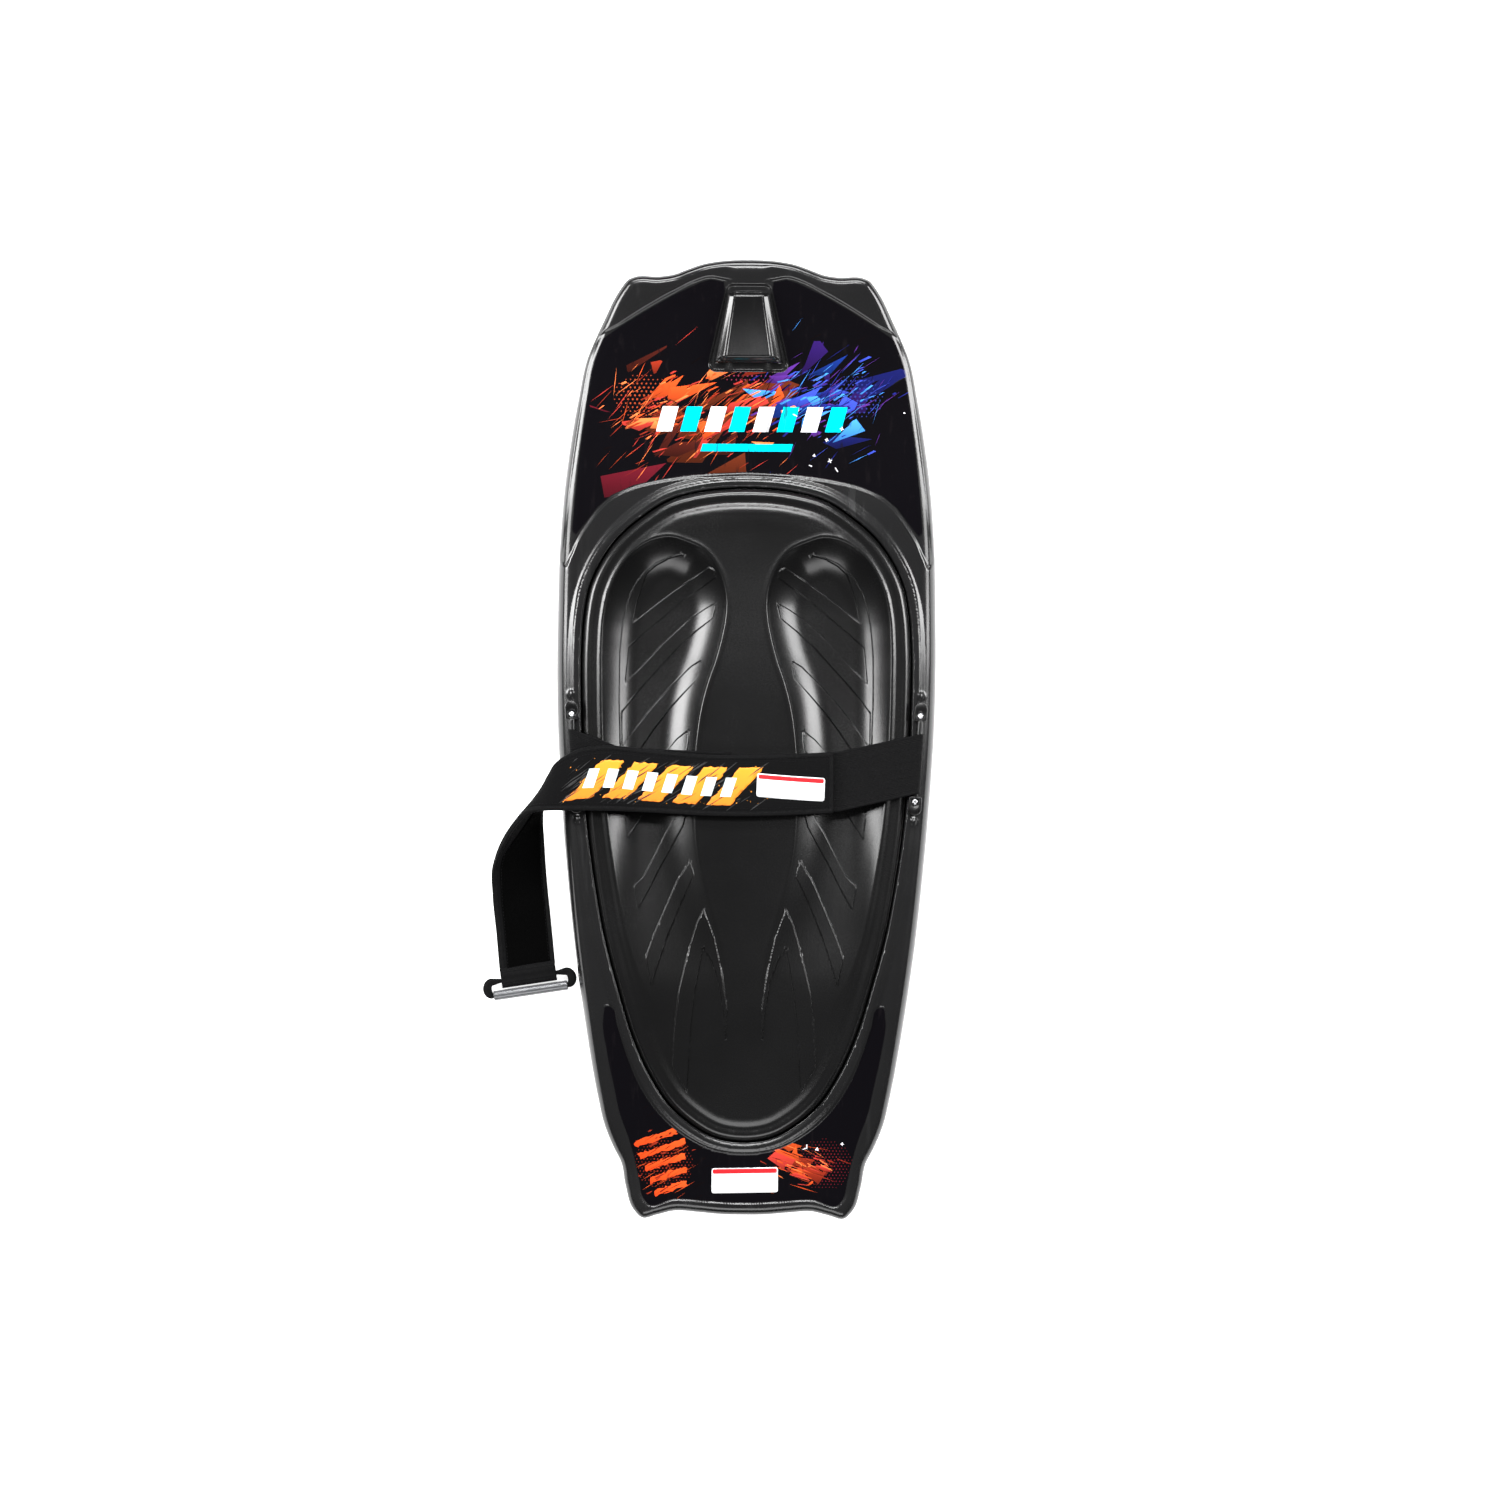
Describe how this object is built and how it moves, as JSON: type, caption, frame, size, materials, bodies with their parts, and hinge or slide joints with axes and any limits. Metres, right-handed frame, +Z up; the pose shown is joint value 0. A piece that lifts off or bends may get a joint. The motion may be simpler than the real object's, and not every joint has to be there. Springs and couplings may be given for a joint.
{
  "type": "kneeboard",
  "caption": "Towed kneeboard with a moulded foam-filled hull, a contoured knee pad, a wide padded thigh strap with a pull handle, and a tow hook at the nose.",
  "frame": {"origin": "middle of the flat part of the hull's underside", "axes": "+X to the rider's right, +Y towards the nose, +Z up out of the deck"},
  "size_m": [0.6008, 1.27, 0.1122],
  "materials": {
    "hull_plastic": "satin black moulded polyethylene",
    "hull_foam": "closed-cell polyurethane foam",
    "eva_pad": "moulded EVA foam skin, satin",
    "nose_print": "glossy printed film, abstract shards",
    "tail_print": "glossy printed film, abstract brush strokes",
    "label_white": "blank label with a coloured bar",
    "anchor_nylon": "moulded nylon",
    "screw_steel": "stainless",
    "insert_brass": "turned",
    "webbing": "ribbed polyester webbing",
    "neoprene": "knit-faced neoprene with a bound edge",
    "hook_tape": "hook and loop tape",
    "grip_plastic": "grey extruded tube"
  },
  "bodies": {
    "board": {"hull_shell": "hull_plastic", "foam_core": "hull_foam", "fill_plug": "anchor_nylon", "knee_pad": "eva_pad", "nose_graphic": "nose_print", "tail_graphic": "tail_print", "tail_label": "label_white", "anchor_left": "anchor_nylon", "anchor_right": "anchor_nylon", "screw_left_front": "screw_steel", "screw_left_rear": "screw_steel", "screw_right_front": "screw_steel", "screw_right_rear": "screw_steel", "insert_left_front": "insert_brass", "insert_left_rear": "insert_brass", "insert_right_front": "insert_brass", "insert_right_rear": "insert_brass"},
    "strap": {"strap_web_right": "webbing", "strap_pad": "neoprene", "hook_patch": "hook_tape", "strap_label": "label_white"},
    "left_webbing": {"strap_web_left": "webbing", "loop_patch": "hook_tape"},
    "strap_end": {"strap_tail": "neoprene", "tail_hook_panel": "hook_tape", "end_pocket": "webbing"},
    "pull_handle": {"pull_loop": "webbing"},
    "grip": {"grip_tube": "grip_plastic"}
  },
  "joints": [
    {"name": "strap_swing", "type": "hinge", "parent": "board", "child": "strap", "pos_m": [0.22825, -0.0205, 0.0691], "axis": [0.0574, 0.9984, 0], "range_deg": [0, 150]},
    {"name": "left_webbing_swing", "type": "hinge", "parent": "board", "child": "left_webbing", "pos_m": [-0.22825, -0.0205, 0.0691], "axis": [0.0574, -0.9984, 0], "range_deg": [0, 100]},
    {"name": "strap_end_lift", "type": "hinge", "parent": "strap", "child": "strap_end", "pos_m": [-0.3, -0.132, 0.064], "axis": [-1, 0, 0], "range_deg": [0, 100]},
    {"name": "handle_turn", "type": "hinge", "parent": "strap_end", "child": "pull_handle", "pos_m": [-0.2895, -0.316, 0.0095], "axis": [-0.9882, -0.153, 0], "range_deg": [0, 110]},
    {"name": "grip_spin", "type": "hinge", "parent": "pull_handle", "child": "grip", "pos_m": [-0.28667, -0.33428, 0.0095], "axis": [0.9882, 0.153, 0], "continuous": true}
  ],
  "couplings": [
    {"joint": "left_webbing_swing", "follows": "strap_swing", "ratio": 0.65}
  ]
}
